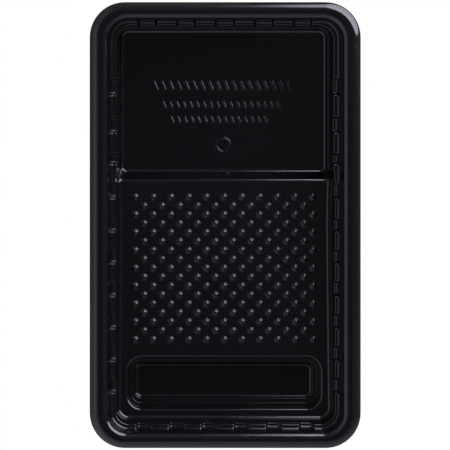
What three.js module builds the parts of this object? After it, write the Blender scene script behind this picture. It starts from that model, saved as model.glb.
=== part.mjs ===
// Mini paint roller tray: one thin sheet of gloss black plastic, vacuum formed over a mould.
// A deep flat well at the +Y end holds the paint. A short riser leads up to a gently climbing
// roll-out ramp covered in round bumps. A long pocket near the -Y end reaches back down to the
// level of the well, so the tray stands on the well and on the pocket. All round, the wall
// ends in a narrow shelf of alternating high and low steps that keep stacked trays apart,
// then a steep inner slope, a rounded rim and a turned-down skirt with a cut edge.
// Millimetres, +Z up, +Y towards the well, origin at the bottom centre of the tray.
import * as THREE from "three";

// ---- driving dimensions ------------------------------------------------------------------
const SHEET = 1.0; // thickness of the formed sheet
const HALF_X = 76; // half of the overall width
const HALF_Y = 125; // half of the overall length
const CORNER_SEGMENTS = { rim: 7, wall: 6, floor: 5 };

// Rim and skirt
const RIM_Z = 31; // top of the rim
const SKIRT_Z = 23; // lower cut edge of the skirt
const OUTER_CORNER_R = 19.7; // plan radius of the outline
// Further in than `inset`, the corner radius shrinks more slowly, by the share `kept`.
const RIM_CORNER_EASE = { inset: 6, kept: 0.25 };
// Section from the cut edge inwards. Columns: inset from the outline on the long sides, on
// the well end and on the ramp end, then the height.
const RIM = [
  [0, 0, 0, SKIRT_Z],
  [0.05, 0.05, 0.05, 26.9],
  [1.15, 1.15, 0.95, 28.86],
  [2.75, 2.75, 2.35, 30.2],
  [4.6, 4.6, 4.0, 30.89],
  [6.5, 5.8, 5.1, RIM_Z],
  [8.84, 8.08, 7.22, 30.35],
  [10.01, 9.31, 8.39, 29.2],
  [10.6, 9.91, 8.98, 28.0],
];

// Stepped shelf
const HIGH_Z = 23.5; // top of the high steps
const LOW_Z = 21; // top of the low steps
const STEP_END = 1.7; // length of the sloping end between a high and a low step
// High steps as [from, to] ranges, along Y on both long sides and along X on the two ends.
// The corners are high too.
const HIGH_STEPS = {
  long: [
    [-HALF_Y, -94.9], [-85.7, -76.9], [-67.9, -58.7], [-49.95, -40.45],
    [-31.4, -22.05], [-13.8, -4.1], [3.9, 14.45], [23.6, 33.7],
    [40.4, 51.5], [60.9, 72.6], [82.4, HALF_Y],
  ],
  well: [
    [-HALF_X, -49.4], [-38, -27.75], [-16.15, -5.95],
    [5.95, 16.15], [27.75, 38], [49.4, HALF_X],
  ],
  ramp: [
    [-HALF_X, -50.2], [-41.3, -31.9], [-22.8, -13.5], [-4.7, 4.7],
    [13.5, 22.8], [31.9, 41.3], [50.2, HALF_X],
  ],
};
// Outer edge of the shelf, and how far it moves in along the low steps of each side.
const SHELF_EDGE = { x: 63.9, y: 114.55, r: 10, lowIn: { long: 0.83, well: 0.25, ramp: 0.8 } };
const SHELF_INNER_R = 8.2;

// Main wall: half width or end position at one height, and its outward lean
const WELL_WALL = { footX: 58.95, spread: 2.05 }; // spread from the well floor up to HIGH_Z
const RAMP_WALL = { topX: 61.8, lean: 0.1495 };
const WELL_END_WALL = { topY: 112.1, lean: 0.043 };
const RAMP_END_WALL = { topY: 112.35, lean: 0.237 };
const WALL_BLEND = { y: 33, length: 9 }; // where the well's width gives way to the ramp's
const WALL_BOW = { depth: 1.1, y: 24.5, fade: 14 };
const WALL_RING = { z: 18, r: 7 }; // ring part way down the wall

// Floors
const WELL_Z = SHEET; // top face of the well floor
const RISER_FOOT_Y = 31.68;
const RISER_HEAD_Y = 23.65; // where the ramp starts
const RAMP = { y0: 25, z0: 7.0, y1: -110, z1: 13.0 }; // two points on the ramp's line
// The fillet reaches `across` over the floor and `up` the wall. The radii are the plan corner
// radii of its upper and floor edges, at the well end and at the ramp end.
const FLOOR_FILLET = {
  across: 1.3,
  up: 1.5,
  top: { r: 4.6, rRamp: 6 },
  floor: { r: 3.4, rRamp: 4.8 },
};

// Pocket outlines: half width, ends along Y and corner radius
const POCKET = {
  mouth: { x: 55.7, y0: -105.85, y1: -74.9, r: 8.8 },
  stepOuter: { x: 53.0, y0: -102.8, y1: -77.8, r: 6.2 }, // foot of the upper wall
  stepInner: { x: 51.1, y0: -100.2, y1: -79.6, r: 4.1 }, // inner edge of the low step
  floor: { x: 49.9, y0: -99.0, y1: -80.8, r: 2.9 },
};
const POCKET_LIP = { inset: 1.15, drop: 0.8 };
const POCKET_STEP = { z: 3.5, fall: 0.1 }; // outer height, and the fall to its inner edge

const BUMP = { pitch: 10.14, columns: 11, rows: 17, firstY: 15.3, r: 2.05, height: 1.2, sides: 6 };

// Stations along the sides
const CORNER_Y = 100; // a loop's half width here, at +Y and -Y, places its corners
const STEP_LIMIT = { long: 101, well: 53, ramp: 53 }; // step stations lie within these
const PLAIN_LONG = [-100, -50, 0, 50, 100];
const PLAIN_END = [-50, 0, 50];

// ---- surface heights and wall positions --------------------------------------------------
const lerp = (a, b, t) => a + (b - a) * t;

function smooth(t) {
  const u = Math.min(1, Math.max(0, t));
  return u * u * (3 - 2 * u);
}

const rampZ = (y) => lerp(RAMP.z0, RAMP.z1, (RAMP.y0 - y) / (RAMP.y0 - RAMP.y1));

// Section of the riser from the well up to the ramp, as [y, z].
const RISER = [
  [RISER_FOOT_Y, WELL_Z],
  [30.46, 1.26],
  [29.46, 1.98],
  [25.74, 6.08],
  [24.79, 6.78],
  [RISER_HEAD_Y, rampZ(RISER_HEAD_Y)],
];

function floorZ(y) {
  if (y >= RISER_FOOT_Y) return WELL_Z;
  if (y <= RISER_HEAD_Y) return rampZ(y);
  const k = RISER.findIndex(([riserY], i) => i && y >= riserY);
  const [yBefore, zBefore] = RISER[k - 1];
  const [yAfter, zAfter] = RISER[k];
  return lerp(zBefore, zAfter, (yBefore - y) / (yBefore - yAfter));
}

const footZ = (y) => floorZ(y) + FLOOR_FILLET.up;

// Beside the head of the ramp the foot of the wall bows out a little.
function wallBow(z, y) {
  const strength = WALL_BOW.depth * Math.exp(Math.min(0, y - WALL_BOW.y) / WALL_BOW.fade);
  return (strength * (HIGH_Z - z)) / (HIGH_Z - RAMP.z0);
}

// Half width of the wall. It leans outwards, and is slightly narrower at the well.
function wallX(z, y) {
  const atWell = WELL_WALL.footX + ((z - WELL_Z) * WELL_WALL.spread) / (HIGH_Z - WELL_Z);
  const atRamp = RAMP_WALL.topX - (HIGH_Z - z) * RAMP_WALL.lean + wallBow(z, y);
  return lerp(atWell, atRamp, smooth((WALL_BLEND.y - y) / WALL_BLEND.length));
}

const endWallY = (wall, z) => wall.topY - (HIGH_Z - z) * wall.lean;

// 0 on a high step or a corner, 1 on a low step, sloping in between.
function lowness(side, along) {
  if (side === "corner") return 0;
  for (const [from, to] of HIGH_STEPS[side]) {
    if (along >= from && along <= to) return 0;
    if (along > to && along < to + STEP_END) return (along - to) / STEP_END;
    if (along < from && along > from - STEP_END) return (from - along) / STEP_END;
  }
  return 1;
}

const shelfZ = (side, along) => lerp(HIGH_Z, LOW_Z, lowness(side, along));

// Stations where a step of the shelf begins or ends.
const stepStations = (side) =>
  HIGH_STEPS[side]
    .flatMap(([from, to]) => [from - STEP_END, from, to, to + STEP_END])
    .filter((along) => Math.abs(along) < STEP_LIMIT[side])
    .sort((a, b) => a - b);

// ---- upper face: vertices, loops and bands -----------------------------------------------
const points = []; // every vertex of the upper face
const upper = []; // its triangles as vertex numbers, counter-clockwise seen from above
const addPoint = (x, y, z) => points.push(new THREE.Vector3(x, y, z)) - 1;
const idsOf = (stations) => stations.map((station) => station.id);

// One closed loop, counter-clockwise from above, starting at the -Y end of the +X side.
// x, wellY and rampY give the half width and the distances to the ends; z gives the height.
// long, well and ramp list stations along the sides. Every station carries a parameter t,
// from 0 to 8, that lines it up with other loops.
function loop({
  x, wellY, rampY, z, r, rRamp = r, segments, long = [], well = [], ramp = [],
}) {
  const stations = [];
  const put = (t, px, py, side) => stations.push({ t, id: addPoint(px, py, z(px, py, side)) });
  const arc = (centreX, centreY, radius, startAngle, startT) => {
    for (let i = 0; i <= segments; i++) {
      const angle = startAngle + (i / segments) * (Math.PI / 2);
      const px = centreX + radius * Math.cos(angle);
      const py = centreY + radius * Math.sin(angle);
      put(startT + i / segments, px, py, "corner");
    }
  };
  const wellArcX = x(CORNER_Y) - r;
  const wellArcY = wellY(0) - r;
  const rampArcX = x(-CORNER_Y) - rRamp;
  const rampArcY = rampY(0) - rRamp;

  for (const y of long) put((y + HALF_Y) / (2 * HALF_Y), x(y), y, "long");
  arc(wellArcX, wellArcY, r, 0, 1);
  for (const px of [...well].reverse()) {
    put(2 + (HALF_X - px) / (2 * HALF_X), px, wellY(px), "well");
  }
  arc(-wellArcX, wellArcY, r, Math.PI / 2, 3);
  for (const y of [...long].reverse()) put(4 + (HALF_Y - y) / (2 * HALF_Y), -x(y), y, "long");
  arc(-rampArcX, -rampArcY, rRamp, Math.PI, 5);
  for (const px of ramp) put(6 + (px + HALF_X) / (2 * HALF_X), px, -rampY(px), "ramp");
  arc(rampArcX, -rampArcY, rRamp, 1.5 * Math.PI, 7);
  return stations;
}

// Joins an outer loop to an inner one with a band of triangles.
function band(outer, inner) {
  const paramAt = (stations, k) => (k < stations.length ? stations[k].t : stations[0].t + 8);
  const idAt = (stations, k) => stations[k % stations.length].id;
  let i = 0;
  let j = 0;
  while (i < outer.length || j < inner.length) {
    const outerId = idAt(outer, i);
    const innerId = idAt(inner, j);
    const outerIsNext = i < outer.length && paramAt(outer, i + 1) <= paramAt(inner, j + 1);
    if (j >= inner.length || outerIsNext) {
      upper.push([outerId, idAt(outer, i + 1), innerId]);
      i++;
    } else {
      upper.push([outerId, idAt(inner, j + 1), innerId]);
      j++;
    }
  }
}

function bandAll(loops) {
  for (let k = 0; k + 1 < loops.length; k++) band(loops[k], loops[k + 1]);
}

// ---- upper face: filling outlines --------------------------------------------------------
const MAX_ROUNDS = 60; // of turning diagonals
const TOLERANCE = { angle: 1e-6, area: 1e-9, leastArea: 1e-4 };

const edgeKey = (a, b) => (a < b ? a + "_" + b : b + "_" + a);

// Twice the signed plan area of a triangle of vertex numbers.
function signedArea(a, b, c) {
  const [p, q, s] = [points[a], points[b], points[c]];
  return (q.x - p.x) * (s.y - p.y) - (s.x - p.x) * (q.y - p.y);
}

// Plan angle at `apex` between the directions to a and b.
function planAngle(apex, a, b) {
  const [ax, ay] = [points[a].x - points[apex].x, points[a].y - points[apex].y];
  const [bx, by] = [points[b].x - points[apex].x, points[b].y - points[apex].y];
  return Math.atan2(Math.abs(ax * by - ay * bx), ax * bx + ay * by);
}

// The two triangles on the other diagonal of a pair sharing edge p-q, or null if the present
// diagonal is the better one or the pair isn't convex.
function turnedPair(first, second, p, q) {
  const a = first.find((id) => id !== p && id !== q);
  const b = second.find((id) => id !== p && id !== q);
  if (planAngle(a, p, q) + planAngle(b, p, q) <= Math.PI + TOLERANCE.angle) return null;
  const turned = [[a, p, b], [a, b, q]].map((t) =>
    signedArea(...t) < 0 ? [t[0], t[2], t[1]] : t,
  );
  const oldArea = Math.abs(signedArea(...first)) + Math.abs(signedArea(...second));
  const areas = turned.map((t) => Math.abs(signedArea(...t)));
  if (areas[0] + areas[1] > oldArea * (1 + TOLERANCE.area)) return null;
  return Math.min(...areas) < TOLERANCE.leastArea ? null : turned;
}

// One pass over all free edges; returns whether any diagonal was turned.
function turnDiagonals(triangles, fixedEdges) {
  const edges = new Map();
  triangles.forEach((triangle, k) =>
    triangle.forEach((id, corner) => {
      const key = edgeKey(id, triangle[(corner + 1) % 3]);
      if (!edges.has(key)) edges.set(key, []);
      edges.get(key).push(k);
    }),
  );
  const touched = new Set();
  for (const [key, pair] of edges) {
    if (pair.length !== 2 || fixedEdges.has(key)) continue;
    if (pair.some((k) => touched.has(k))) continue;
    const [p, q] = key.split("_").map(Number);
    const turned = turnedPair(triangles[pair[0]], triangles[pair[1]], p, q);
    if (!turned) continue;
    pair.forEach((k, i) => {
      triangles[k] = turned[i];
      touched.add(k);
    });
  }
  return touched.size > 0;
}

// Fills the region between an outline and its holes (lists of vertex numbers) in plan, then
// turns diagonals until no triangle is needlessly thin.
function fill(outline, holes = []) {
  const pointsOf = (ids) => ids.map((id) => points[id]);
  const ids = [...outline, ...holes.flat()];
  const faces = THREE.ShapeUtils.triangulateShape(pointsOf(outline), holes.map(pointsOf));
  const triangles = faces.map((face) => face.map((k) => ids[k]));
  for (const triangle of triangles) {
    if (signedArea(...triangle) < 0) triangle.reverse();
  }
  const fixedEdges = new Set();
  for (const border of [outline, ...holes]) {
    border.forEach((id, k) => fixedEdges.add(edgeKey(id, border[(k + 1) % border.length])));
  }
  let round = 0;
  while (round < MAX_ROUNDS && turnDiagonals(triangles, fixedEdges)) round++;
  upper.push(...triangles);
}

// ---- skirt, rim, shelf and wall ----------------------------------------------------------
const stepStops = {
  long: stepStations("long"),
  well: stepStations("well"),
  ramp: stepStations("ramp"),
};
const plainEnds = { well: PLAIN_END, ramp: PLAIN_END };
const wallLong = [-100, -50, -20, 0, 8, 16, ...RISER.map(([y]) => y).reverse(), 60, 100];

// The innermost ring takes the stations of the shelf it meets.
function makeRimRings() {
  return RIM.map(([longInset, wellInset, rampInset, z], k) => {
    const eased = RIM_CORNER_EASE.kept * Math.max(0, rampInset - RIM_CORNER_EASE.inset);
    const stops = k === RIM.length - 1 ? stepStops : { long: PLAIN_LONG, ...plainEnds };
    return loop({
      x: () => HALF_X - longInset,
      wellY: () => HALF_Y - wellInset,
      rampY: () => HALF_Y - rampInset,
      z: () => z,
      r: OUTER_CORNER_R - rampInset + eased,
      segments: CORNER_SEGMENTS.rim,
      ...stops,
    });
  });
}

function makeShelfLoops() {
  const common = {
    z: (x, y, side) => shelfZ(side, side === "long" ? y : x),
    segments: CORNER_SEGMENTS.wall,
    ...stepStops,
  };
  const { lowIn } = SHELF_EDGE;
  const outer = loop({
    x: (y) => SHELF_EDGE.x - lowIn.long * lowness("long", y),
    wellY: (x) => SHELF_EDGE.y - lowIn.well * lowness("well", x),
    rampY: (x) => SHELF_EDGE.y - lowIn.ramp * lowness("ramp", x),
    r: SHELF_EDGE.r,
    ...common,
  });
  const inner = loop({
    x: (y) => wallX(shelfZ("long", y), y),
    wellY: (x) => endWallY(WELL_END_WALL, shelfZ("well", x)),
    rampY: (x) => endWallY(RAMP_END_WALL, shelfZ("ramp", x)),
    r: SHELF_INNER_R,
    ...common,
  });
  return [outer, inner];
}

function makeWallRing() {
  const { z, r } = WALL_RING;
  return loop({
    x: (y) => wallX(z, y),
    wellY: () => endWallY(WELL_END_WALL, z),
    rampY: () => endWallY(RAMP_END_WALL, z),
    z: () => z,
    r,
    segments: CORNER_SEGMENTS.wall,
    ...stepStops,
    long: [...new Set([...stepStops.long, ...wallLong])].sort((a, b) => a - b),
  });
}

// A loop along the foot of the wall, set in by `inset`.
function makeFootLoop(inset, surfaceZ, radii) {
  return loop({
    x: (y) => wallX(footZ(y), y) - inset,
    wellY: () => endWallY(WELL_END_WALL, WELL_Z + FLOOR_FILLET.up) - inset,
    rampY: () => endWallY(RAMP_END_WALL, RAMP.z1 + FLOOR_FILLET.up) - inset,
    z: (x, y) => surfaceZ(y),
    ...radii,
    segments: CORNER_SEGMENTS.floor,
    long: wallLong,
    ...plainEnds,
  });
}

const rimRings = makeRimRings();
const shelfLoops = makeShelfLoops();
const wallRing = makeWallRing();
const filletTop = makeFootLoop(0, footZ, FLOOR_FILLET.top);
const floorEdge = makeFootLoop(FLOOR_FILLET.across, floorZ, FLOOR_FILLET.floor);
bandAll([...rimRings, ...shelfLoops, wallRing, filletTop, floorEdge]);

// ---- floors ------------------------------------------------------------------------------
const floorEdgeIds = idsOf(floorEdge);

// Vertex of the floor edge at y, on the +X side (sign 1) or the -X side (sign -1).
const edgeAt = (sign, y) =>
  floorEdgeIds.find((id) => sign * points[id].x > 0 && Math.abs(points[id].y - y) < 1e-6);

// Part of the floor edge from one vertex to another, going counter-clockwise.
function walkEdge(from, to) {
  const path = [];
  for (let k = floorEdgeIds.indexOf(from); ; k = (k + 1) % floorEdgeIds.length) {
    path.push(floorEdgeIds[k]);
    if (floorEdgeIds[k] === to) return path;
  }
}

function addWellFloor() {
  fill(walkEdge(edgeAt(1, RISER_FOOT_Y), edgeAt(-1, RISER_FOOT_Y)));
}

function addRiser() {
  for (let k = 0; k + 1 < RISER.length; k++) {
    const [lowerY, upperY] = [RISER[k][0], RISER[k + 1][0]];
    const [a, b] = [edgeAt(1, lowerY), edgeAt(-1, lowerY)];
    const [c, d] = [edgeAt(-1, upperY), edgeAt(1, upperY)];
    upper.push([a, b, c], [a, c, d]);
  }
}

function pocketLoop({ x, y0, y1, r }, heightAt) {
  return loop({
    x: () => x,
    wellY: () => y1,
    rampY: () => -y0,
    z: (px, py) => heightAt(py),
    r,
    segments: CORNER_SEGMENTS.floor,
  });
}

// Mouth, rounded lip, upper wall, low step and floor. Returns the mouth's vertices.
function addPocket() {
  const { mouth, stepOuter, stepInner, floor } = POCKET;
  const { inset, drop } = POCKET_LIP;
  const lip = {
    x: mouth.x - inset,
    y0: mouth.y0 + inset,
    y1: mouth.y1 - inset,
    r: mouth.r - inset,
  };
  const loops = [
    pocketLoop(mouth, rampZ),
    pocketLoop(lip, (y) => rampZ(y) - drop),
    pocketLoop(stepOuter, () => POCKET_STEP.z),
    pocketLoop(stepInner, () => POCKET_STEP.z - POCKET_STEP.fall),
    pocketLoop(floor, () => WELL_Z),
  ];
  bandAll(loops);
  fill(idsOf(loops.at(-1)));
  return idsOf(loops[0]);
}

// A low pyramid on the ramp. Returns its base vertices.
function addBump(centreX, centreY) {
  const base = [];
  for (let s = 0; s < BUMP.sides; s++) {
    const angle = (s / BUMP.sides) * 2 * Math.PI;
    const y = centreY + BUMP.r * Math.sin(angle);
    base.push(addPoint(centreX + BUMP.r * Math.cos(angle), y, rampZ(y)));
  }
  const tip = addPoint(centreX, centreY, rampZ(centreY) + BUMP.height);
  base.forEach((id, s) => upper.push([id, base[(s + 1) % BUMP.sides], tip]));
  return base;
}

// Full rows and rows shifted by half a pitch, one after the other.
function addBumps() {
  const bases = [];
  for (let row = 0; row < BUMP.rows; row++) {
    const count = BUMP.columns - (row % 2);
    const y = BUMP.firstY - (row * BUMP.pitch) / 2;
    for (let k = 0; k < count; k++) {
      bases.push(addBump((k - (count - 1) / 2) * BUMP.pitch, y));
    }
  }
  return bases;
}

addWellFloor();
addRiser();
const pocketMouth = addPocket();
const bumpBases = addBumps();
const rampOutline = walkEdge(edgeAt(-1, RISER_HEAD_Y), edgeAt(1, RISER_HEAD_Y));
fill(rampOutline, [pocketMouth, ...bumpBases]);

// ---- lower face and cut edge -------------------------------------------------------------
const SOFTNESS = 0.004; // keeps flat spots, where only one direction is known, well defined

// Per vertex, the least-squares system (matrix rows, right side, total weight) that asks for
// one sheet thickness under every triangle meeting there, weighted by corner angle.
function offsetSystems() {
  const systems = points.map(() => ({
    matrix: new Array(9).fill(0),
    target: new THREE.Vector3(),
    weight: 0,
  }));
  const side = (from, to) => new THREE.Vector3().subVectors(points[to], points[from]);
  for (const [a, b, c] of upper) {
    const normal = side(a, b).cross(side(a, c)).normalize();
    const n = normal.toArray();
    for (const [apex, next, last] of [[a, b, c], [b, c, a], [c, a, b]]) {
      const weight = side(apex, next).angleTo(side(apex, last));
      const system = systems[apex];
      system.target.addScaledVector(normal, -weight * SHEET);
      for (let i = 0; i < 3; i++) {
        for (let j = 0; j < 3; j++) system.matrix[3 * i + j] += weight * n[i] * n[j];
      }
      system.weight += weight;
    }
  }
  return systems;
}

function solveOffset({ matrix, target, weight }) {
  const exact = new THREE.Matrix3().set(...matrix);
  const inverse = exact.clone();
  for (const k of [0, 4, 8]) inverse.elements[k] += SOFTNESS * weight;
  inverse.invert();
  const offset = target.clone().applyMatrix3(inverse);
  // One refinement step reduces the pull of the soft term.
  const residual = target.clone().sub(offset.clone().applyMatrix3(exact));
  return offset.add(residual.applyMatrix3(inverse));
}

function makeLowerPoints() {
  const systems = offsetSystems();
  const lower = points.map((point, k) => point.clone().add(solveOffset(systems[k])));
  // The undersides of the well and of the pocket are the standing faces, so they are flat.
  points.forEach((point, k) => {
    if (Math.abs(point.z - WELL_Z) < 1e-6) lower[k].z = 0;
  });
  // The cut edge of the skirt is level.
  for (const { id } of rimRings[0]) lower[id].z = SKIRT_Z;
  return lower;
}

function makeShellGeometry() {
  const count = points.length;
  const index = [];
  for (const [a, b, c] of upper) index.push(a, b, c, count + a, count + c, count + b);
  const cutEdge = idsOf(rimRings[0]);
  cutEdge.forEach((a, k) => {
    const b = cutEdge[(k + 1) % cutEdge.length];
    index.push(a, count + b, b, a, count + a, count + b);
  });
  const coordinates = [...points, ...makeLowerPoints()].flatMap((point) => point.toArray());
  const geometry = new THREE.BufferGeometry();
  geometry.setAttribute("position", new THREE.Float32BufferAttribute(coordinates, 3));
  geometry.setIndex(index);
  geometry.computeVertexNormals();
  return geometry;
}

// ---- assembly ----------------------------------------------------------------------------
const glossBlack = new THREE.MeshStandardMaterial({
  color: 0x0b0b0d,
  roughness: 0.2,
  metalness: 0,
});
const shell = new THREE.Mesh(makeShellGeometry(), glossBlack);
shell.name = "tray_shell";

const tray = new THREE.Group();
tray.name = "paint_roller_tray";
tray.add(shell);

export default tray;
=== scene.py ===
"""Paint roller tray: the formed sheet as one fine mesh, its plastic, a pale floor and studio light."""

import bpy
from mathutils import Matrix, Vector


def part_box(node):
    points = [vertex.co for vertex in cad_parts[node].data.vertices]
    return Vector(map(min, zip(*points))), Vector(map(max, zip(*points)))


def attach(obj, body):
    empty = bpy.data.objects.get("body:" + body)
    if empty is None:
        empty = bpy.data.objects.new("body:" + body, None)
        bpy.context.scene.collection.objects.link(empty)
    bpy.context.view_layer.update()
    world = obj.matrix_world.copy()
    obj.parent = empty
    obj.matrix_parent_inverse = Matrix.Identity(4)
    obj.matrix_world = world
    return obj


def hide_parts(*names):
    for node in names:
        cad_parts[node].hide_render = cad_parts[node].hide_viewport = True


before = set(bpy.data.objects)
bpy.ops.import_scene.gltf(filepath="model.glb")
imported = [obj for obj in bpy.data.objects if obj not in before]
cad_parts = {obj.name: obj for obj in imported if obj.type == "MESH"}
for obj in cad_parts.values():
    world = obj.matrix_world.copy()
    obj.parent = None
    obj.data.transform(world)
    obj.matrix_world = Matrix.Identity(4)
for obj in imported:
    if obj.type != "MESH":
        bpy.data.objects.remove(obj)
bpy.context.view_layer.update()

import math

import bpy
import numpy as np
from mathutils import Vector
from mathutils.geometry import delaunay_2d_cdt

MM = 0.001
LOW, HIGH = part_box("tray_shell")
HALF_X = (HIGH.x - LOW.x) / 2 / MM
HALF_Y = (HIGH.y - LOW.y) / 2 / MM
RIM_Z = HIGH.z / MM
SHEET = 1.0
SKIRT_Z = RIM_Z - 8.0
HIGH_Z = RIM_Z - 7.5
LOW_Z = RIM_Z - 10.0
STEP_END = 1.7  # length of the slope between a high and a low step of the shelf
STEP_R_HIGH, STEP_R_LOW = 0.8, 0.7  # rounding of its upper and lower end
LOWER_R = 1.35  # an outward rounding as the lower face follows it: the sheet is thick, so it is wider
WELL_Z = SHEET
EPS = 0.02  # step used to take directions along the perimeter

HIGH_LONG = [
    (-125, -94.9), (-85.7, -76.9), (-67.9, -58.7), (-49.95, -40.45), (-31.4, -22.05), (-13.8, -4.1),
    (3.9, 14.45), (23.6, 33.7), (40.4, 51.5), (60.9, 72.6), (82.4, 125),
]
HIGH_WELL = [(-76, -49.4), (-38, -27.75), (-16.15, -5.95), (5.95, 16.15), (27.75, 38), (49.4, 76)]
HIGH_RAMP = [
    (-76, -50.2), (-41.3, -31.9), (-22.8, -13.5), (-4.7, 4.7), (13.5, 22.8), (31.9, 41.3), (50.2, 76),
]

# slope of the inner face of the rim: (inset of its virtual top corner, inset gained per mm down)
SLOPE_LONG = (9.6, 0.333)
SLOPE_WELL, SLOPE_RAMP = (9.7, 0.10), (8.0, 0.327)
R_TOP, R_FOOT, R_EDGE = 12.0, 10.0, 8.2  # plan radii of the slope top, shelf foot and shelf edge
R_FLOOR_WELL, R_FLOOR_RAMP = 4.5, 5.9
FLOOR_IN, FLOOR_ROUND = 2.5, 2.1  # where the flat floor stops, in from the wall, and the rounding up to it
BESIDE_RISER = 4.2  # plan radius of the well floor where it meets the riser and the wall


# ---- small vector helpers ------------------------------------------------------------------
def unit(v):
    return v / np.maximum(np.linalg.norm(v, axis=-1, keepdims=True), 1e-12)


def smooth(t):
    u = np.clip(t, 0, 1)
    return u * u * (3 - 2 * u)


def rounded(corners, radii, counts):
    """Corners (S, K, 3) joined by straight lines, each inner corner rounded by its radius (S,).
    Returns the points (S, M, 3) and the directions of travel there."""
    c = np.asarray(corners, float)
    k_all = c.shape[1]
    length = np.linalg.norm(c[:, 1:] - c[:, :-1], axis=-1)
    pts, dirs = [c[:, 0]], [unit(c[:, 1] - c[:, 0])]
    for k in range(1, k_all - 1):
        a, b = unit(c[:, k - 1] - c[:, k]), unit(c[:, k + 1] - c[:, k])
        half = 0.5 * np.arccos(np.clip((a * b).sum(-1), -1, 1))
        half = np.clip(half, 1e-4, math.pi / 2 - 1e-6)
        r = np.broadcast_to(np.asarray(radii[k - 1], float), half.shape).copy()
        turn = math.pi - 2 * half
        start = c[:, k] + a * (r / np.tan(half))[:, None]
        centre = c[:, k] + unit(a + b) * (r / np.sin(half))[:, None]
        e = unit(centre - start)
        for j in range(counts[k - 1] + 1):
            ang = (turn * j / counts[k - 1])[:, None]
            pts.append(centre - r[:, None] * e * np.cos(ang) - r[:, None] * a * np.sin(ang))
            dirs.append(-a * np.cos(ang) + e * np.sin(ang))
    pts.append(c[:, -1])
    dirs.append(unit(c[:, -1] - c[:, -2]))
    return np.stack(pts, 1), np.stack(dirs, 1), length


def profile(points, radii, count=60):
    """A rounded line through 2-D points, as dense tables for interpolation."""
    c = np.array([[(p[0], 0.0, p[1]) for p in points]], float)
    p, _, _ = rounded(c, [np.array([r]) for r in radii], [count] * (len(points) - 2))
    order = np.argsort(p[0, :, 0], kind="stable")
    return p[0, order, 0], p[0, order, 2]


# ---- heights along the tray ----------------------------------------------------------------
def ramp_z(y):
    return 7.0 + 6.0 * (25.0 - np.asarray(y, float)) / 135.0


FOOT_Y, HEAD_Y = 30.35, 24.9
_fy, _fz = profile(
    [(-140.0, float(ramp_z(-140.0))), (HEAD_Y, float(ramp_z(HEAD_Y))), (FOOT_Y, WELL_Z), (140.0, WELL_Z)],
    [3.0, 3.0], 200,
)
RISER_TOP, RISER_FOOT = 23.4, 32.0


def floor_z(y):
    return np.interp(y, _fy, _fz)


def wall_x(z, y):
    f = smooth((33.0 - y) / 9.0)
    bow = 1.1 * math.exp(min(0.0, y - 24.5) / 14.0) * (23.5 - z) / 16.5  # beside the head of the ramp
    return (58.95 + (z - 1) * 2.05 / 22.5) * (1 - f) + (61.8 - (23.5 - z) * 0.1495 + bow) * f


def wall_end(z, well):
    return 112.1 - (23.5 - z) * 0.043 if well else 112.35 - (23.5 - z) * 0.237


def shelf_table(ranges, limit, lower=False):
    pts = [(-200.0, HIGH_Z)]
    radii, stations = [], []
    beta = math.atan2(HIGH_Z - LOW_Z, STEP_END)
    lh, ll = STEP_R_HIGH * math.tan(beta / 2), STEP_R_LOW * math.tan(beta / 2)
    r_high = LOWER_R if lower else STEP_R_HIGH

    def ends(corner, outwards, r, tangent):
        # places along one rounding: its two ends and three between
        return [corner + outwards * (tangent - r * math.sin(beta * q)) for q in (0, 0.25, 0.5, 0.75, 1)]

    for i, (a, b) in enumerate(ranges):
        if i:
            top, foot = a, a - STEP_END
            pts += [(foot, LOW_Z), (top, HIGH_Z)]
            radii += [STEP_R_LOW, r_high]
            stations += ends(top, 1, STEP_R_HIGH, lh) + ends(foot, -1, STEP_R_LOW, ll)
        if i < len(ranges) - 1:
            top, foot = b, b + STEP_END
            pts += [(top, HIGH_Z), (foot, LOW_Z)]
            radii += [r_high, STEP_R_LOW]
            stations += ends(top, -1, STEP_R_HIGH, lh) + ends(foot, 1, STEP_R_LOW, ll)
    pts.append((200.0, HIGH_Z))
    xs, zs = profile(pts, radii, 40)
    return (xs, zs), sorted(s for s in stations if abs(s) < limit)


T_LONG, S_LONG = shelf_table(HIGH_LONG, 101)
T_WELL, S_WELL = shelf_table(HIGH_WELL, 53)
T_RAMP, S_RAMP = shelf_table(HIGH_RAMP, 53)
SHELF = {
    False: {"long": T_LONG, "well": T_WELL, "ramp": T_RAMP},
    True: {"long": shelf_table(HIGH_LONG, 101, True)[0], "well": shelf_table(HIGH_WELL, 53, True)[0],
           "ramp": shelf_table(HIGH_RAMP, 53, True)[0]},
}

# ---- places round the perimeter ------------------------------------------------------------
# A place is (side, s): side 0 +X, 2 well end, 4 -X, 6 ramp end with s a coordinate in the
# direction of travel, and odd sides are corners with s the angle 0..1.
CORNER_N = 14


def line_up(side, s):
    return {0: (s + 125) / 250, 2: (76 - s) / 152, 4: (125 - s) / 250, 6: (s + 76) / 152}[side] + side


def places(long, well, ramp, corner=CORNER_N):
    out = []
    arc = [j / corner for j in range(corner + 1)]
    out += [(0, y) for y in sorted(long)] + [(1, j) for j in arc]
    out += [(2, x) for x in sorted(well, reverse=True)] + [(3, j) for j in arc]
    out += [(4, y) for y in sorted(long, reverse=True)] + [(5, j) for j in arc]
    out += [(6, x) for x in sorted(ramp)] + [(7, j) for j in arc]
    return out


def tidy(values, gap=0.12):
    out = []
    for v in sorted(values):
        if not out or v - out[-1] > gap:
            out.append(v)
    return out


def ts(pl):
    return [line_up(k, s) if k % 2 == 0 else k + s for k, s in pl]


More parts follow.
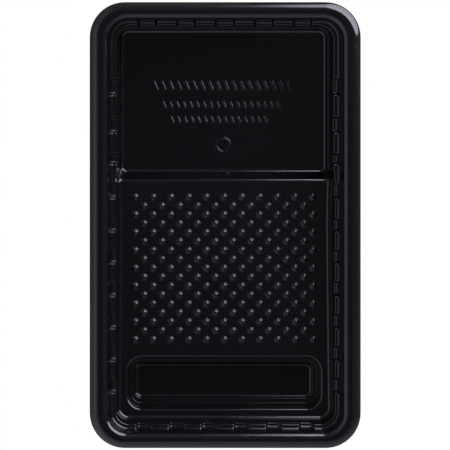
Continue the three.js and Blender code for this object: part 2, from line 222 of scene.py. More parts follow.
def ring_xyz(pl, half_x, half_y, radius, height):
    """One ring of virtual corner points. half_x(y), half_y(x, well), radius(well), height(...)."""
    out = np.zeros((len(pl), 3))
    for i, (k, s) in enumerate(pl):
        if k == 0 or k == 4:
            x = half_x(s)
            out[i] = (x if k == 0 else -x, s, height("long", x, s))
        elif k == 2 or k == 6:
            y = half_y(s, k == 2)
            out[i] = (s, y if k == 2 else -y, height("well" if k == 2 else "ramp", s, y if k == 2 else -y))
        else:
            well = k in (1, 3)
            x0, y0, r = half_x(200.0 if well else -200.0), half_y(200.0, well), radius(well)
            a = {1: 0.0, 3: 0.5, 5: 1.0, 7: 1.5}[k] * math.pi + s * math.pi / 2
            cx = (x0 - r) * (1 if k in (1, 7) else -1)
            cy = (y0 - r) * (1 if well else -1)
            px, py = cx + r * math.cos(a), cy + r * math.sin(a)
            out[i] = (px, py, height("corner", px, py))
    return out


def shelf_z(side, s, lower=False):
    return HIGH_Z if side == "corner" else float(np.interp(s, *SHELF[lower][side]))


def beside_riser(y):
    """The floor's edge is rounded in plan where it meets the foot of the riser, and less and less up the riser."""
    if y > FOOT_Y - 0.3:
        u = min(max((y - FOOT_Y + 0.3) / BESIDE_RISER, 0.0), 1.0)
        return 0.9 * BESIDE_RISER * (1 - math.sqrt(u * (2 - u)))
    return 0.9 * BESIDE_RISER * float(smooth((y - HEAD_Y + 1.2) / (FOOT_Y - HEAD_Y + 0.9)))


def rings_at(pl, lower=False):
    """All virtual corners of the section at these places: skirt edge, rim, slope, shelf, wall, floor."""
    def plain(d_long, d_well, d_ramp, z, r):
        return ring_xyz(
            pl, lambda y: HALF_X - d_long, lambda x, w: HALF_Y - (d_well if w else d_ramp), lambda w: r,
            lambda side, x, y: z,
        )

    slope_end = lambda w: SLOPE_WELL if w else SLOPE_RAMP

    sz = lambda side, x, y: shelf_z(side, y if side == "long" else x, lower)
    zl = lambda y: shelf_z("long", y, lower) if abs(y) < 150 else HIGH_Z
    ze = lambda x, w: (shelf_z("well" if w else "ramp", x, lower) if abs(x) < 150 else HIGH_Z)
    foot = ring_xyz(
        pl,
        lambda y: HALF_X - SLOPE_LONG[0] - (RIM_Z - zl(y)) * SLOPE_LONG[1],
        lambda x, w: HALF_Y - slope_end(w)[0] - (RIM_Z - ze(x, w)) * slope_end(w)[1],
        lambda w: R_FOOT, sz,
    )
    edge = ring_xyz(
        pl, lambda y: wall_x(zl(y), y), lambda x, w: wall_end(ze(x, w), w), lambda w: R_EDGE, sz,
    )
    fz = lambda side, x, y: float(floor_z(y))
    zend = lambda w: WELL_Z if w else 12.95
    base = ring_xyz(
        pl, lambda y: wall_x(floor_z(y) if abs(y) < 150 else zend(y > 0), y),
        lambda x, w: wall_end(zend(w), w), lambda w: R_FLOOR_WELL if w else R_FLOOR_RAMP, fz,
    )
    inner = ring_xyz(
        pl, lambda y: wall_x(floor_z(y) if abs(y) < 150 else zend(y > 0), y) - FLOOR_IN - beside_riser(y),
        lambda x, w: wall_end(zend(w), w) - FLOOR_IN,
        lambda w: (R_FLOOR_WELL if w else R_FLOOR_RAMP) - 0.75 * FLOOR_IN, fz,
    )
    return {
        "cut": plain(0.0, 0.0, 0.0, SKIRT_Z, 19.7),
        "rim": plain(0.02, 0.02, 0.02, RIM_Z, 19.7),
        "top": plain(SLOPE_LONG[0], SLOPE_WELL[0], SLOPE_RAMP[0], RIM_Z, R_TOP),
        "foot": foot, "edge": edge, "base": base, "inner": inner,
    }


def at_height(a, b, z):
    """The point of each line a-b at height z."""
    t = (z - a[:, 2]) / (b[:, 2] - a[:, 2])
    return a + (b - a) * t[:, None]


def length_to(a, b):
    return np.linalg.norm(a - b, axis=-1)


def half_turn(prev, mid, nxt):
    a, b = unit(prev - mid), unit(nxt - mid)
    return 0.5 * np.arccos(np.clip((a * b).sum(-1), -1, 1))


def section(group, pl, lower=False):
    q = rings_at(pl, lower)
    if group == "rim":
        mid = at_height(q["top"], q["foot"], RIM_Z - 4.4)
        c = np.stack([q["cut"], q["rim"], q["top"], mid], 1)
        on_end = np.array([(1.0 if k in (2, 6) else 0.0 if k in (0, 4) else (s if k in (1, 5) else 1 - s)) for k, s in pl])
        r_end = np.array([4.3 if k in (1, 2, 3) else 4.05 for k, s in pl])
        r_in = 4.1 + (r_end - 4.1) * smooth(on_end)
        at_ramp = np.array([smooth(s) if k == 5 else smooth(1 - s) if k == 7 else float(k == 6) for k, s in pl])
        p, d, _ = rounded(c, [5.7 - 0.7 * at_ramp, r_in], [12, 10])
        return p, d
    if group == "shelf":
        mid = at_height(q["top"], q["foot"], RIM_Z - 5.0)
        low = at_height(q["edge"], q["base"], 18.6)
        c = np.stack([mid, q["foot"], q["edge"], low], 1)
        width = length_to(q["foot"], q["edge"])
        kf = 1 / np.tan(half_turn(mid, q["foot"], q["edge"]))
        ke = 1 / np.tan(half_turn(q["foot"], q["edge"], low))
        r_edge = np.full(len(pl), LOWER_R if lower else 0.75)
        r_foot = np.clip((width * 0.97 - r_edge * ke) / kf, 0.5, 1.5)
        p, d, _ = rounded(c, [r_foot, r_edge], [5, 5])
        return p, d
    low = at_height(q["edge"], q["base"], 16.8)
    c = np.stack([low, q["base"], q["inner"]], 1)
    p, d, _ = rounded(c, [np.array([FLOOR_ROUND + (0.7 * beside_riser(s) if k in (0, 4) else 0.0) for k, s in pl])], [7])
    return p, d


def moved(pl, step):
    out = []
    for k, s in pl:
        if k % 2:
            out.append((k, s + step / 12))
        else:
            out.append((k, s + (step if k in (0, 6) else -step)))
    return out


# ---- the mesh being built ------------------------------------------------------------------
P, NRM, TRI = [], [], []  # vertices, their directions, triangles (counter-clockwise from outside)


def add(points, normals):
    first = len(P)
    P.extend(np.asarray(points, float).tolist())
    NRM.extend(unit(np.asarray(normals, float)).tolist())
    return list(range(first, len(P)))


def band(outer, t_outer, inner, t_inner, flip=False, period=8.0):
    i = j = 0
    n, m = len(outer), len(inner)
    while i < n or j < m:
        a, b = outer[i % n], inner[j % m]
        ti = t_outer[i + 1] if i + 1 < n else t_outer[0] + period
        tj = t_inner[j + 1] if j + 1 < m else t_inner[0] + period
        if j >= m or (i < n and ti <= tj + 1e-9):
            f = (a, outer[(i + 1) % n], b)
            i += 1
        else:
            f = (a, inner[(j + 1) % m], b)
            j += 1
        TRI.append(f[::-1] if flip else f)


class Ring:
    def __init__(self, up, dn, t):
        self.up, self.dn, self.t = up, dn, t


def face(group, pl, lower=False):
    p, d = section(group, pl, lower)
    a, _ = section(group, moved(pl, -EPS), lower)
    b, _ = section(group, moved(pl, EPS), lower)
    return p, unit(np.cross(unit(b - a), d))


def steep(side, s):
    """0 on a step of the shelf, 1 half way down the slope between two."""
    if side % 2:
        return 0.0
    name = "long" if side in (0, 4) else "well" if side == 2 else "ramp"
    rise = shelf_z(name, s + 0.6, True) - shelf_z(name, s - 0.6, True)
    return min(abs(rise) / 1.2 * STEP_END / (HIGH_Z - LOW_Z), 1.0)


def make_rings(group, pl):
    (p, n), (q, m) = face(group, pl), face(group, pl, True)
    t = ts(pl)
    # the sheet is drawn thinner on the slopes between the steps
    thin = 0.62 * np.array([steep(k, s) for k, s in pl]) if group == "shelf" else np.zeros(len(pl))
    last = p.shape[1] - 1
    out = []
    for k in range(p.shape[1]):
        sheet = SHEET * (1 - thin * (0 < k < last))[:, None]
        out.append(Ring(add(p[:, k], n[:, k]), add(q[:, k] - sheet * m[:, k], -m[:, k]), t))
    return out


def join(r1, r2):
    band(r1.up, r1.t, r2.up, r2.t)
    band(r1.dn, r1.t, r2.dn, r2.t, flip=True)


rim_pl = places([-100, -60, -20, 20, 60, 100], [-50, -17, 17, 50], [-50, -17, 17, 50])
fill_long = [y for y in range(-100, 101, 10)]
dense_long = tidy(S_LONG + [y for y in fill_long if min(abs(y - s) for s in S_LONG) > 2.5]
                  + [24.5, 26, 27.5, 29, 30.5, 32, 33])
dense_well = tidy(S_WELL + [x for x in (-50, -33, -11, 11, 33, 50)])
dense_ramp = tidy(S_RAMP + [x for x in (-52, -36, -18, 0, 18, 36, 52)])
shelf_pl = places(dense_long, dense_well, dense_ramp)
riser_y = [RISER_TOP + (RISER_FOOT - RISER_TOP) * k / 30 for k in range(31)] + [30.15, 30.25]
wall_long = tidy([-100, -50, -30, -15, -5, 0, 5, 10, 14, 17.5, 20, 22, 22.8] + riser_y
                 + [32.3, 32.6, 33, 33.4, 33.8, 34.2, 34.7, 36, 38, 50, 75, 100])
wall_pl = places(wall_long, [-50, 0, 50], [-50, 0, 50])

rim = make_rings("rim", rim_pl)
shelf = make_rings("shelf", shelf_pl)
wall = make_rings("wall", wall_pl)
for rings in (rim, shelf, wall):
    for k in range(len(rings) - 1):
        join(rings[k], rings[k + 1])
join(rim[-1], shelf[0])
join(shelf[-1], wall[0])
CUT_FACES_FROM = len(TRI)
band(rim[0].dn, rim[0].t, rim[0].up, rim[0].t)
CUT_FACES_TO = len(TRI)


# ---- floors --------------------------------------------------------------------------------
def inside(poly, pts):
    """Which points lie in the polygon (numpy, even-odd)."""
    x, y = pts[:, 0], pts[:, 1]
    res = np.zeros(len(pts), bool)
    for (x1, y1), (x2, y2) in zip(poly, np.roll(poly, -1, axis=0)):
        if y1 == y2:
            continue
        hit = ((y1 > y) != (y2 > y)) & (x < (x2 - x1) * (y - y1) / (y2 - y1) + x1)
        res ^= hit
    return res


def fill(outline, holes, flip=False):
    """Flat region inside the outline and outside the holes, as triangles on existing vertices."""
    loops = [outline] + holes
    ids = [v for l in loops for v in l]
    co = [Vector((P[v][0], P[v][1])) for v in ids]
    edges, base = [], 0
    for l in loops:
        edges += [(base + k, base + (k + 1) % len(l)) for k in range(len(l))]
        base += len(l)
    out_co, _, faces, orig, _, _ = delaunay_2d_cdt(co, edges, [], 0, 1e-7)
    if len(out_co) != len(co):
        raise RuntimeError("a floor's outlines touch: %d points became %d" % (len(co), len(out_co)))
    name = [ids[o[0]] for o in orig]
    xy = np.array([P[v][:2] for v in name])
    f = np.array(faces)
    mid = xy[f].mean(1)
    keep = inside(np.array([P[v][:2] for v in outline]), mid)
    for h in holes:
        hp = np.array([P[v][:2] for v in h])
        lo, hi = hp.min(0), hp.max(0)
        painted_contact_shade = np.where(keep & (mid > lo).all(1) & (mid < hi).all(1))[0]
        if len(painted_contact_shade):
            keep[painted_contact_shade[inside(hp, mid[painted_contact_shade])]] = False
    for tri in f[keep]:
        a, b, c = (xy[k] for k in tri)
        g = [name[k] for k in tri]
        if (b[0] - a[0]) * (c[1] - a[1]) - (c[0] - a[0]) * (b[1] - a[1]) < 0:
            g.reverse()
        TRI.append(tuple(g[::-1]) if flip else tuple(g))


edge_ring = wall[-1]
K = len(edge_ring.up)
pos = {}
for k, (side, s) in enumerate(wall_pl):
    if side in (0, 4):
        pos[(side, round(s, 4))] = k


def walk(frm, to):
    out, k = [], frm
    while True:
        out.append(k)
        if k == to:
            return out
        k = (k + 1) % K


def pick(side, y):
    return pos[(side, round(y, 4))]


well_loop = walk(pick(0, RISER_FOOT), pick(4, RISER_FOOT))
ramp_loop = walk(pick(4, RISER_TOP), pick(0, RISER_TOP))
rows = [y for y in wall_long if RISER_TOP - 1e-6 <= y <= RISER_FOOT + 1e-6]
for y0, y1 in zip(rows, rows[1:]):
    r0, r1, l0, l1 = pick(0, y0), pick(0, y1), pick(4, y0), pick(4, y1)
    for ids, flip in ((edge_ring.up, False), (edge_ring.dn, True)):
        a, b, c, d = ids[r1], ids[l1], ids[l0], ids[r0]
        for f in ((a, b, c), (a, c, d)):
            TRI.append(f[::-1] if flip else f)

# frame of the ramp plane
RAMP_SLOPE = 6.0 / 135.0
RN = unit(np.array([0.0, RAMP_SLOPE, 1.0]))
RE = unit(np.array([0.0, 1.0, -RAMP_SLOPE]))
RX = np.array([1.0, 0.0, 0.0])

# The pocket near the end of the ramp, from the ramp over its lip down to its floor.
def pocket_places(n=12):
    out = []
    for c in range(4):
        out += [(c, j / n) for j in range(n + 1)]
    return out


POCKET = {
    "lip": (56.5, -106.65, -74.2, 9.6), "mouth": (54.9, -105.05, -75.8, 8.0),
    "step": (53.0, -102.8, -77.8, 6.2), "nose": (51.1, -100.2, -79.6, 4.1),
    "foot": (50.1, -99.2, -80.6, 3.1), "in": (48.1, -97.2, -82.6, 1.1),
}
POCKET_STEP_Z = 3.5  # height of the low step round the pocket's floor


def pocket_ring(which, pl):
    hx, y0, y1, r = POCKET[which]
    out = np.zeros((len(pl), 3))
    for i, (c, s) in enumerate(pl):
        a = c * math.pi / 2 + s * math.pi / 2
        cx = (hx - r) * (1 if c in (0, 3) else -1)
        cy = y1 - r if c in (0, 1) else y0 + r
        x, y = cx + r * math.cos(a), cy + r * math.sin(a)
        z = {"step": POCKET_STEP_Z, "nose": POCKET_STEP_Z - 0.1, "foot": WELL_Z, "in": WELL_Z}
        out[i] = (x, y, z[which] if which in z else float(ramp_z(y)))
    return out


def pocket_section(pl, lower=False):
    c = np.stack([pocket_ring(w, pl) for w in ("lip", "mouth", "step", "nose", "foot", "in")], 1)
    nose = LOWER_R if lower else 0.3
    p, d, _ = rounded(c, [np.full(len(pl), r) for r in (1.7, 0.35, nose, 1.7)], [7, 3, 4, 8])
    return p, d


def pocket_face(lower=False):
    p, _ = pocket_section(pk_pl, lower)
    a, d = pocket_section([(c, s - 0.002) for c, s in pk_pl], lower)
    b, _ = pocket_section([(c, s + 0.002) for c, s in pk_pl], lower)
    n = unit(np.cross(unit(b - a), pocket_section(pk_pl, lower)[1]))
    n[:, 0] = RN
    n[:, -1] = (0, 0, 1)
    return p, n


pk_pl = pocket_places()
pt = [2 * c + 1 + s for c, s in pk_pl]
(pu, nu), (pl_, nl) = pocket_face(), pocket_face(True)
pocket = [Ring(add(pu[:, k], nu[:, k]), add(pl_[:, k] - SHEET * nl[:, k], -nl[:, k]), pt) for k in range(pu.shape[1])]
for k in range(len(pocket) - 1):
    join(pocket[k], pocket[k + 1])
fill(pocket[-1].up, [])
fill(pocket[-1].dn, [], flip=True)

# The bumps: a round dome with a soft foot, hollow underneath.
BUMP_R, BUMP_H, FOOT_R = 1.9, 1.2, 0.6
DOME = (BUMP_R**2 + BUMP_H**2) / (2 * BUMP_H)
FOOT_OUT = math.sqrt((DOME + FOOT_R) ** 2 - (FOOT_R + DOME - BUMP_H) ** 2)
MEET = math.atan2(FOOT_R + DOME - BUMP_H, FOOT_OUT)  # elevation where foot and dome meet


def bump_profile(foot_n, dome_n):
    rows = []
    for j in range(foot_n + 1):
        tilt = (math.pi / 2 - MEET) * j / foot_n
        rows.append((FOOT_OUT - FOOT_R * math.sin(tilt), FOOT_R * (1 - math.cos(tilt)), math.sin(tilt), math.cos(tilt)))
    for j in range(1, dome_n):
        e = MEET + (math.pi / 2 - MEET) * j / dome_n
        rows.append((DOME * math.cos(e), DOME * math.sin(e) + BUMP_H - DOME, math.cos(e), math.sin(e)))
    return rows


def bump(cx, cy, sides, prof, sheet, flip):
    centre = np.array([cx, cy, float(ramp_z(cy))])
    ang = np.arange(sides) / sides * 2 * math.pi
    out_dir = np.cos(ang)[:, None] * RX + np.sin(ang)[:, None] * RE
    t = (ang / (2 * math.pi) * 8).tolist()
    last = None
    first = None
    for r, h, nr, nz in prof:
        n = nr * out_dir + nz * RN
        p = centre + r * out_dir + h * RN - sheet * n
        ids = add(p, -n if flip else n)
        if last is None:
            first = ids
        else:
            band(last, t, ids, t, flip=flip)
        last = ids
    tip = add([centre + (BUMP_H - sheet) * RN], [-RN if flip else RN])[0]
    for k in range(sides):
        f = (last[k], last[(k + 1) % sides], tip)
        TRI.append(f[::-1] if flip else f)
    return first


up_prof, dn_prof = bump_profile(3, 5), bump_profile(2, 3)
up_feet, dn_feet = [], []
for row in range(17):
    count = 11 - row % 2
    for k in range(count):
        cx, cy = (k - (count - 1) / 2) * 10.14, 15.3 - row * 5.07
        up_feet.append(bump(cx, cy, 20, up_prof, 0.0, False))
        dn_feet.append(bump(cx, cy, 12, dn_prof, SHEET, True))
fill([edge_ring.up[k] for k in ramp_loop], [pocket[0].up] + up_feet)
fill([edge_ring.dn[k] for k in ramp_loop], [pocket[0].dn] + dn_feet, flip=True)

# Plain raised marks on the well floor: three rows of dashes and a ring.
MARK_H, MARK_R = 0.55, 0.34


LEAN = (math.cos(math.radians(24)), math.sin(math.radians(24)))


def mark_loop(cx, cy, hx, hy, n=8):
    """A leaning pill outline: for each point the centre of its end arc and its direction."""
    r = min(hx, hy)
    out = []
    for sign in (1, -1):
        for j in range(n + 1):
            a = (0 if sign > 0 else math.pi) + j / n * math.pi
            out.append((cx - LEAN[1] * sign * (hy - r), cy + LEAN[0] * sign * (hy - r),
                        LEAN[0] * math.cos(a) - LEAN[1] * math.sin(a), LEAN[1] * math.cos(a) + LEAN[0] * math.sin(a)))
    return out, r


def raised(loop, radius, sign=1.0):
    """Rings of a raised edge: foot, rounded rise, top. sign -1 runs towards a larger radius."""
    rings = []
    rows = [(0.0, 0.0, 0.0)]
    for q in (0.34, 0.67, 1.0):
        a = q * math.radians(62)
        rows.append((MARK_R * math.sin(a), MARK_R * (1 - math.cos(a)), a))
    for q in (1.0, 0.67, 0.34, 0.0):
        a = q * math.radians(62)
        span = MARK_H - 2 * MARK_R * (1 - math.cos(math.radians(62)))
        full = 2 * MARK_R * math.sin(math.radians(62)) + span / math.tan(math.radians(62))
        rows.append((full - MARK_R * math.sin(a), MARK_H - MARK_R * (1 - math.cos(a)), a))
    for d, h, a in rows:
        p, n = [], []
        for ox, oy, ca, sa in loop:
            r = radius - sign * d
            p.append((ox + r * ca, oy + r * sa, WELL_Z + h))
            n.append((sign * math.sin(a) * ca, sign * math.sin(a) * sa, math.cos(a)))
        rings.append(add(p, n))
    return rings


def flat_top(ids, holes=()):
    fill(ids, list(holes))


well_holes = []
for y, x0, x1, pitch, hx, hy in (
    (79.2, -39.0, 38.0, 4.53, 0.95, 3.2), (68.2, -34.0, 31.6, 3.86, 0.85, 2.3), (59.6, -29.4, 24.4, 3.84, 0.85, 2.3),
):
    n = int(round((x1 - x0) / pitch)) + 1
    for k in range(n):
        cx = x0 + (x1 - x0) * k / (n - 1)
        lp, r = mark_loop(cx, y, hx, hy)
        rings = raised(lp, r)
        t = list(np.arange(len(lp)) / len(lp) * 8)
        for a, b in zip(rings, rings[1:]):
            band(a, t, b, t)
        flat_top(rings[-1])
        well_holes.append(rings[0])
# the ring
RING_Y, RING_OUT, RING_IN = 45.2, 4.65, 3.1
n = 40
lp = [(0.0, RING_Y, math.cos(2 * math.pi * k / n), math.sin(2 * math.pi * k / n)) for k in range(n)]
t = list(np.arange(n) / n * 8)
outer = raised(lp, RING_OUT)
inner_rings = raised(lp, RING_IN, -1.0)
for a, b in zip(outer, outer[1:]):
    band(a, t, b, t)
for a, b in zip(inner_rings, inner_rings[1:]):
    band(a, t, b, t, flip=True)
band(outer[-1], t, inner_rings[-1], t)
fill(inner_rings[0], [])
well_holes.append(outer[0])
fill([edge_ring.up[k] for k in well_loop], well_holes)
fill([edge_ring.dn[k] for k in well_loop], [], flip=True)

# ---- the object ----------------------------------------------------------------------------
verts = np.array(P)
norms = np.array(NRM)
verts[:, 2] = np.clip(verts[:, 2], 0.0, RIM_Z)
centre_x, centre_y = (HIGH.x + LOW.x) / 2, (HIGH.y + LOW.y) / 2
co = verts * MM + np.array([centre_x, centre_y, LOW.z])
faces = np.array(TRI, int)
mesh = bpy.data.meshes.new("tray")
mesh.from_pydata(co.tolist(), [], faces.tolist())
mesh.validate(verbose=False)
if len(mesh.polygons) != len(faces):
    raise RuntimeError("the tray mesh lost faces: %d of %d" % (len(mesh.polygons), len(faces)))
mesh.polygons.foreach_set("use_smooth", [True] * len(mesh.polygons))
loop_n = norms[faces.ravel()].copy()
loop_n.reshape(-1, 3, 3)[CUT_FACES_FROM:CUT_FACES_TO] = (0, 0, -1)
mesh.normals_split_custom_set([tuple(v) for v in loop_n])
mesh.update()
tray = bpy.data.objects.new("tray", mesh)
bpy.context.scene.collection.objects.link(tray)
print("tray triangles", len(mesh.polygons))


# ---- plastic -------------------------------------------------------------------------------
def new_tree(tree):
    tree.nodes.clear()
    return tree.nodes, tree.links


plastic = bpy.data.materials.new("black_plastic")
plastic.use_nodes = True
nodes, links = new_tree(plastic.node_tree)
out = nodes.new("ShaderNodeOutputMaterial")
bsdf = nodes.new("ShaderNodeBsdfPrincipled")
links.new(bsdf.outputs["BSDF"], out.inputs["Surface"])
bsdf.inputs["Base Color"].default_value = (0.0029, 0.0028, 0.0033, 1)
bsdf.inputs["IOR"].default_value = 1.53
bsdf.inputs["Roughness"].default_value = 0.13
coord = nodes.new("ShaderNodeTexCoord")


def noise(scale, detail, rough=0.5):
    nd = nodes.new("ShaderNodeTexNoise")
    nd.inputs["Scale"].default_value = scale
    nd.inputs["Detail"].default_value = detail
    nd.inputs["Roughness"].default_value = rough
    links.new(coord.outputs["Object"], nd.inputs["Vector"])
    return nd.outputs["Fac"] if "Fac" in nd.outputs else nd.outputs[0]


# the formed sheet is never quite flat, and its gloss varies a little with handling
wave, grain, wear = noise(45.0, 2.0), noise(2600.0, 3.0), noise(160.0, 4.0, 0.6)
spread = nodes.new("ShaderNodeMapRange")
spread.inputs["From Min"].default_value = 0.3
spread.inputs["From Max"].default_value = 0.7
spread.inputs["To Min"].default_value = 0.11
spread.inputs["To Max"].default_value = 0.16
links.new(wear, spread.inputs["Value"])
links.new(spread.outputs["Result"], bsdf.inputs["Roughness"])
bump_a = nodes.new("ShaderNodeBump")
bump_a.inputs["Strength"].default_value = 1.0
bump_a.inputs["Distance"].default_value = 0.00004
links.new(wave, bump_a.inputs["Height"])
bump_b = nodes.new("ShaderNodeBump")
bump_b.inputs["Strength"].default_value = 1.0
bump_b.inputs["Distance"].default_value = 0.0000015
links.new(grain, bump_b.inputs["Height"])
links.new(bump_a.outputs["Normal"], bump_b.inputs["Normal"])
links.new(bump_b.outputs["Normal"], bsdf.inputs["Normal"])
mesh.materials.append(plastic)

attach(tray, "root")
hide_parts("tray_shell")

# ---- floor ---------------------------------------------------------------------------------
fm = bpy.data.meshes.new("floor")
S = 4.0
fm.from_pydata([(-S, -S, LOW.z - 0.0002), (S, -S, LOW.z - 0.0002), (S, S, LOW.z - 0.0002), (-S, S, LOW.z - 0.0002)], [], [(0, 1, 2, 3)])
floor = bpy.data.objects.new("floor", fm)
bpy.context.scene.collection.objects.link(floor)
pale = bpy.data.materials.new("pale_floor")
pale.use_nodes = True
nodes, links = new_tree(pale.node_tree)
out = nodes.new("ShaderNodeOutputMaterial")
path = nodes.new("ShaderNodeLightPath")
mix = nodes.new("ShaderNodeMixShader")
glow = nodes.new("ShaderNodeEmission")
hidden = nodes.new("ShaderNodeBsdfTransparent")
painted_contact_shade = nodes.new("ShaderNodeAmbientOcclusion")  # painted contact shadow: the floor's glow is darkened by ambient occlusion where the tray stands on it
painted_contact_shade.samples = 8
painted_contact_shade.inputs["Distance"].default_value = 0.012
painted_shade_level = nodes.new("ShaderNodeMapRange")
painted_shade_level.inputs["From Min"].default_value = 0.0
painted_shade_level.inputs["From Max"].default_value = 0.9
painted_shade_level.inputs["To Min"].default_value = 0.25
painted_shade_level.inputs["To Max"].default_value = 1.0
links.new(painted_contact_shade.outputs["AO"], painted_shade_level.inputs["Value"])
where = nodes.new("ShaderNodeNewGeometry")
away = nodes.new("ShaderNodeVectorMath")
away.operation = "LENGTH"
links.new(where.outputs["Position"], away.inputs[0])
far = nodes.new("ShaderNodeMapRange")  # no painted shadow away from the tray, where the softbox passes through the floor
far.inputs["From Min"].default_value = 0.20
far.inputs["From Max"].default_value = 0.26
links.new(away.outputs["Value"], far.inputs["Value"])
light = nodes.new("ShaderNodeMath")
light.operation = "MAXIMUM"
links.new(painted_shade_level.outputs["Result"], light.inputs[0])
links.new(far.outputs["Result"], light.inputs[1])
# the floor's glow strength carries the painted contact shadow
links.new(light.outputs[0], glow.inputs["Strength"])
front = nodes.new("ShaderNodeMath")  # clear from below, so the underside can be looked at
front.operation = "SUBTRACT"
front.use_clamp = True
links.new(path.outputs["Is Camera Ray"], front.inputs[0])
links.new(where.outputs["Backfacing"], front.inputs[1])
links.new(front.outputs[0], mix.inputs[0])
links.new(hidden.outputs[0], mix.inputs[1])
links.new(glow.outputs[0], mix.inputs[2])
links.new(mix.outputs[0], out.inputs["Surface"])
fm.materials.append(pale)

# ---- studio light --------------------------------------------------------------------------
world = bpy.data.worlds.new("studio")
bpy.context.scene.world = world
world.use_nodes = True
nodes, links = new_tree(world.node_tree)
out = nodes.new("ShaderNodeOutputWorld")
coord = nodes.new("ShaderNodeTexCoord")
split = nodes.new("ShaderNodeSeparateXYZ")
links.new(coord.outputs["Generated"], split.inputs[0])


def put(value, socket):
    if isinstance(value, (int, float)):
        socket.default_value = value
    else:
        links.new(value, socket)


def mth(op, a, b=None, c=None):
    nd = nodes.new("ShaderNodeMath")
    nd.operation = op
    for k, v in enumerate((a, b, c)):
        if v is not None:
            put(v, nd.inputs[k])
    return nd.outputs[0]


def step(value, lo, hi, to_lo=0.0, to_hi=1.0):
    nd = nodes.new("ShaderNodeMapRange")
    nd.interpolation_type = "SMOOTHSTEP"
    put(value, nd.inputs["Value"])
    for name, v in (("From Min", lo), ("From Max", hi), ("To Min", to_lo), ("To Max", to_hi)):
        put(v, nd.inputs[name])
    return nd.outputs["Result"]


def window(value, lo, hi, soft):
    return mth("MULTIPLY", step(value, lo - soft, lo + soft), step(value, hi - soft, hi + soft, 1.0, 0.0))


DEG = 180 / math.pi
azimuth = mth("MULTIPLY", mth("ARCTAN2", split.outputs["Y"], split.outputs["X"]), DEG)
zenith = mth("MULTIPLY", mth("ARCCOSINE", split.outputs["Z"]), DEG)


def ramp(value, stops, values):
    """A smooth curve through (stop 0..1, value) pairs."""
    nd = nodes.new("ShaderNodeValToRGB")
    cr = nd.color_ramp
    cr.interpolation = "EASE"
    cr.elements.remove(cr.elements[-1])
    for k, (p, v) in enumerate(zip(stops, values)):
        e = cr.elements[0] if k == 0 else cr.elements.new(p)
        e.position = p
        e.color = (v, v, v, 1)
    put(value, nd.inputs[0])
    sp = nodes.new("ShaderNodeSeparateColor")
    links.new(nd.outputs["Color"], sp.inputs[0])
    return sp.outputs[0]


# Brightness of the surroundings by height (degrees from straight up) in eight directions.
UP = (0, 10, 26, 38, 50, 62, 75, 90, 108, 118, 128, 150)
ROUND = {
    180: (0.06, 0.10, 0.17, 0.56, 0.86, 0.82, 0.55, 0.32, 0.30, 0.30, 0.03, 0.0),
    -135: (0.06, 0.10, 0.22, 0.60, 0.85, 0.92, 0.92, 0.92, 0.85, 0.75, 0.06, 0.0),
    -90: (0.06, 0.065, 0.24, 0.50, 0.62, 0.62, 0.62, 0.57, 0.48, 0.42, 0.06, 0.0),
    -45: (0.06, 0.06, 0.18, 0.26, 0.36, 0.42, 0.50, 0.56, 0.48, 0.40, 0.05, 0.0),
    0: (0.06, 0.11, 0.14, 0.13, 0.12, 0.12, 0.13, 0.16, 0.24, 0.26, 0.03, 0.0),
    45: (0.06, 0.11, 0.10, 0.14, 0.18, 0.22, 0.24, 0.26, 0.26, 0.24, 0.08, 0.0),
    90: (0.06, 0.11, 0.13, 0.17, 0.20, 0.22, 0.25, 0.30, 0.28, 0.25, 0.10, 0.0),
    135: (0.06, 0.10, 0.14, 0.34, 0.50, 0.50, 0.40, 0.33, 0.30, 0.26, 0.06, 0.0),
}
height01 = mth("DIVIDE", zenith, 180.0)
total = None
for deg, values in ROUND.items():
    off = mth("ABSOLUTE", mth("SUBTRACT", azimuth, float(deg)))
    off = mth("MINIMUM", off, mth("ABSOLUTE", mth("SUBTRACT", 360.0, off)))
    weight = mth("MAXIMUM", 0.0, mth("SUBTRACT", 1.0, mth("DIVIDE", off, 45.0)))
    part = mth("MULTIPLY", weight, ramp(height01, [u / 180 for u in UP], values))
    total = part if total is None else mth("ADD", total, part)
studio = nodes.new("ShaderNodeBackground")
studio.inputs["Color"].default_value = (1.0, 0.965, 1.15, 1)
put(total, studio.inputs["Strength"])
plainbg = nodes.new("ShaderNodeBackground")
plainbg.inputs["Color"].default_value = (1, 1, 1, 1)
plainbg.inputs["Strength"].default_value = 1.0
path = nodes.new("ShaderNodeLightPath")
mix = nodes.new("ShaderNodeMixShader")
links.new(path.outputs["Is Camera Ray"], mix.inputs[0])
links.new(studio.outputs[0], mix.inputs[1])
links.new(plainbg.outputs[0], mix.inputs[2])
links.new(mix.outputs[0], out.inputs["Surface"])

# The key light: an upright softbox to the right and behind, brightest in the middle.
KEY_A, KEY_B = Vector((0.062, 1.12)), Vector((1.335, 0.244))
KEY_Z = (-0.5, 1.07)
sm = bpy.data.meshes.new("softbox")
sm.from_pydata(
    [(KEY_A.x, KEY_A.y, KEY_Z[0]), (KEY_B.x, KEY_B.y, KEY_Z[0]), (KEY_B.x, KEY_B.y, KEY_Z[1]), (KEY_A.x, KEY_A.y, KEY_Z[1])],
    [], [(0, 1, 2, 3)],
)
uv = sm.uv_layers.new(name="UVMap")
for k, c in enumerate(((0, 0), (1, 0), (1, 1), (0, 1))):
    uv.data[k].uv = c
softbox = bpy.data.objects.new("softbox", sm)
bpy.context.scene.collection.objects.link(softbox)
softbox.visible_camera = False
lit = bpy.data.materials.new("softbox_cloth")
lit.use_nodes = True
nodes, links = new_tree(lit.node_tree)
out = nodes.new("ShaderNodeOutputMaterial")
cloth = nodes.new("ShaderNodeEmission")
place = nodes.new("ShaderNodeUVMap")
place.uv_map = "UVMap"
split = nodes.new("ShaderNodeSeparateXYZ")
links.new(place.outputs[0], split.inputs[0])
across = mth("MULTIPLY", mth("ABSOLUTE", mth("SUBTRACT", split.outputs["X"], 0.5)), 2.0)
up = mth("MULTIPLY", mth("ABSOLUTE", mth("SUBTRACT", split.outputs["Y"], 0.5)), 2.0)
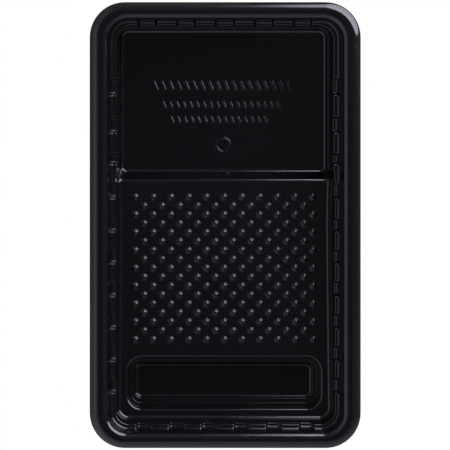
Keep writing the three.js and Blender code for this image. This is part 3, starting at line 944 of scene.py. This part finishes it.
radial = mth("POWER", mth("ADD", mth("POWER", across, 2.6), mth("POWER", up, 2.6)), 1 / 2.6)
edge_fade = step(radial, 0.86, 1.0, 1.0, 0.0)
rise = step(split.outputs["Y"], 0.30, 0.66, 0.56, 1.0)  # less light from its lower part
put(mth("MULTIPLY", mth("MULTIPLY", edge_fade, rise), 7.5), cloth.inputs["Strength"])
cloth.inputs["Color"].default_value = (1.0, 0.965, 1.13, 1)
links.new(cloth.outputs[0], out.inputs["Surface"])
sm.materials.append(lit)

# ---- camera and colour ---------------------------------------------------------------------
CAM = Vector((centre_x - 0.043, centre_y + 0.035, HIGH.z + 1.0))
PX_PER_M = 1784.0  # at the height of the outline
DIST = CAM.z - (LOW.z + 0.0265)
WIDE = 450 / PX_PER_M
cam_data = bpy.data.cameras.new("camera")
cam_data.sensor_width = 36.0
cam_data.sensor_fit = "HORIZONTAL"
cam_data.lens = 36.0 * DIST / WIDE
cam_data.clip_start = 0.05
cam_data.clip_end = 50.0
camera = bpy.data.objects.new("camera", cam_data)
camera.location = CAM
camera.rotation_euler = (0, 0, 0)
bpy.context.scene.collection.objects.link(camera)
bpy.context.scene.camera = camera


def shift_here(prop, value):
    """Lens shift that holds at the main camera height only, so that other views stay centred."""
    curve = cam_data.driver_add(prop)
    curve.driver.type = "SUM"
    var = curve.driver.variables.new()
    var.type = "TRANSFORMS"
    var.targets[0].id = camera
    var.targets[0].transform_type = "LOC_Z"
    while curve.modifiers:
        curve.modifiers.remove(curve.modifiers[0])
    for off, v in ((-0.06, 0.0), (-0.02, value), (0.02, value), (0.06, 0.0)):
        point = curve.keyframe_points.insert(CAM.z + off, v)
        point.interpolation = "LINEAR"
    curve.update()


shift_here("shift_x", (centre_x - CAM.x) / WIDE - 0.25 / 450)
shift_here("shift_y", (centre_y - CAM.y) / WIDE)
bpy.context.scene.view_settings.view_transform = "Standard"
bpy.context.scene.view_settings.look = "None"
bpy.context.scene.view_settings.exposure = 0.0
bpy.context.scene.view_settings.gamma = 1.0

bpy.context.view_layer.update()
